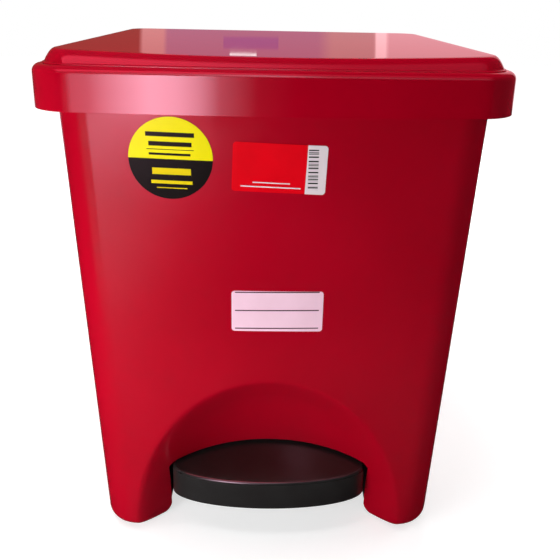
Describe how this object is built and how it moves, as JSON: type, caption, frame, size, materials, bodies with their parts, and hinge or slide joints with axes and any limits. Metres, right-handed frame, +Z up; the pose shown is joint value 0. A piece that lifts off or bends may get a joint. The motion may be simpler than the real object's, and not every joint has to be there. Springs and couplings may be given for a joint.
{
  "type": "pedal bin",
  "caption": "Tapered plastic waste bin with a skirted hinged lid, an arched foot niche with a black pedal, and a rod that lifts the lid as the pedal is pressed.",
  "frame": {"origin": "floor level under the middle of the bin's box", "axes": "+Z up, -Y towards the user at the pedal side, +X to the user's right"},
  "size_m": [0.36, 0.35, 0.4393],
  "materials": {
    "red_body": "glossy moulded polypropylene with a faint orange peel",
    "red_lid": "glossy moulded polypropylene",
    "bucket_plastic": "satin moulded plastic",
    "dark_plastic": "satin moulded plastic",
    "black_pedal": "satin moulded plastic with a fine grain",
    "white_plastic": "satin moulded acetal",
    "steel": "zinc plated",
    "rubber": "matt",
    "sticker_film": "printed film",
    "label_film": "printed film",
    "panel_film": "printed film"
  },
  "bodies": {
    "body": {"outer_body": "red_body", "base_plate": "dark_plastic", "base_screws": "steel", "rubber_feet": "rubber", "inner_bucket": "bucket_plastic", "hinge_pin_left": "steel", "hinge_pin_right": "steel", "rod_guide_upper": "white_plastic", "rod_guide_lower": "white_plastic", "guide_screws": "steel", "pedal_axle": "steel", "axle_clips": "steel", "round_sticker": "sticker_film", "small_label": "label_film", "write_on_panel": "panel_film"},
    "lid": {"lid": "red_lid", "lid_bumpers": "rubber", "lift_bracket": "white_plastic", "bracket_screws": "steel"},
    "rod": {"push_rod": "steel", "rod_cap_upper": "rubber", "rod_cap_lower": "rubber"},
    "pedal": {"pedal_pad": "black_pedal", "pedal_lever": "dark_plastic", "pedal_screws": "steel"}
  },
  "joints": [
    {"name": "lid_hinge", "type": "hinge", "parent": "body", "child": "lid", "pos_m": [0, 0.1685, 0.385], "axis": [-1, 0, 0], "range_deg": [0, 72]},
    {"name": "rod_slide", "type": "slide", "parent": "body", "child": "rod", "axis": [0, 0, 1], "range_m": [0, 0.032]},
    {"name": "pedal_hinge", "type": "hinge", "parent": "body", "child": "pedal", "pos_m": [0, -0.022, 0.034], "axis": [1, 0, 0], "range_deg": [0, 10.85]}
  ],
  "couplings": [
    {"joint": "rod_slide", "follows": "lid_hinge", "m_per_rad": 0.025445},
    {"joint": "pedal_hinge", "follows": "lid_hinge", "ratio": 0.15056}
  ]
}
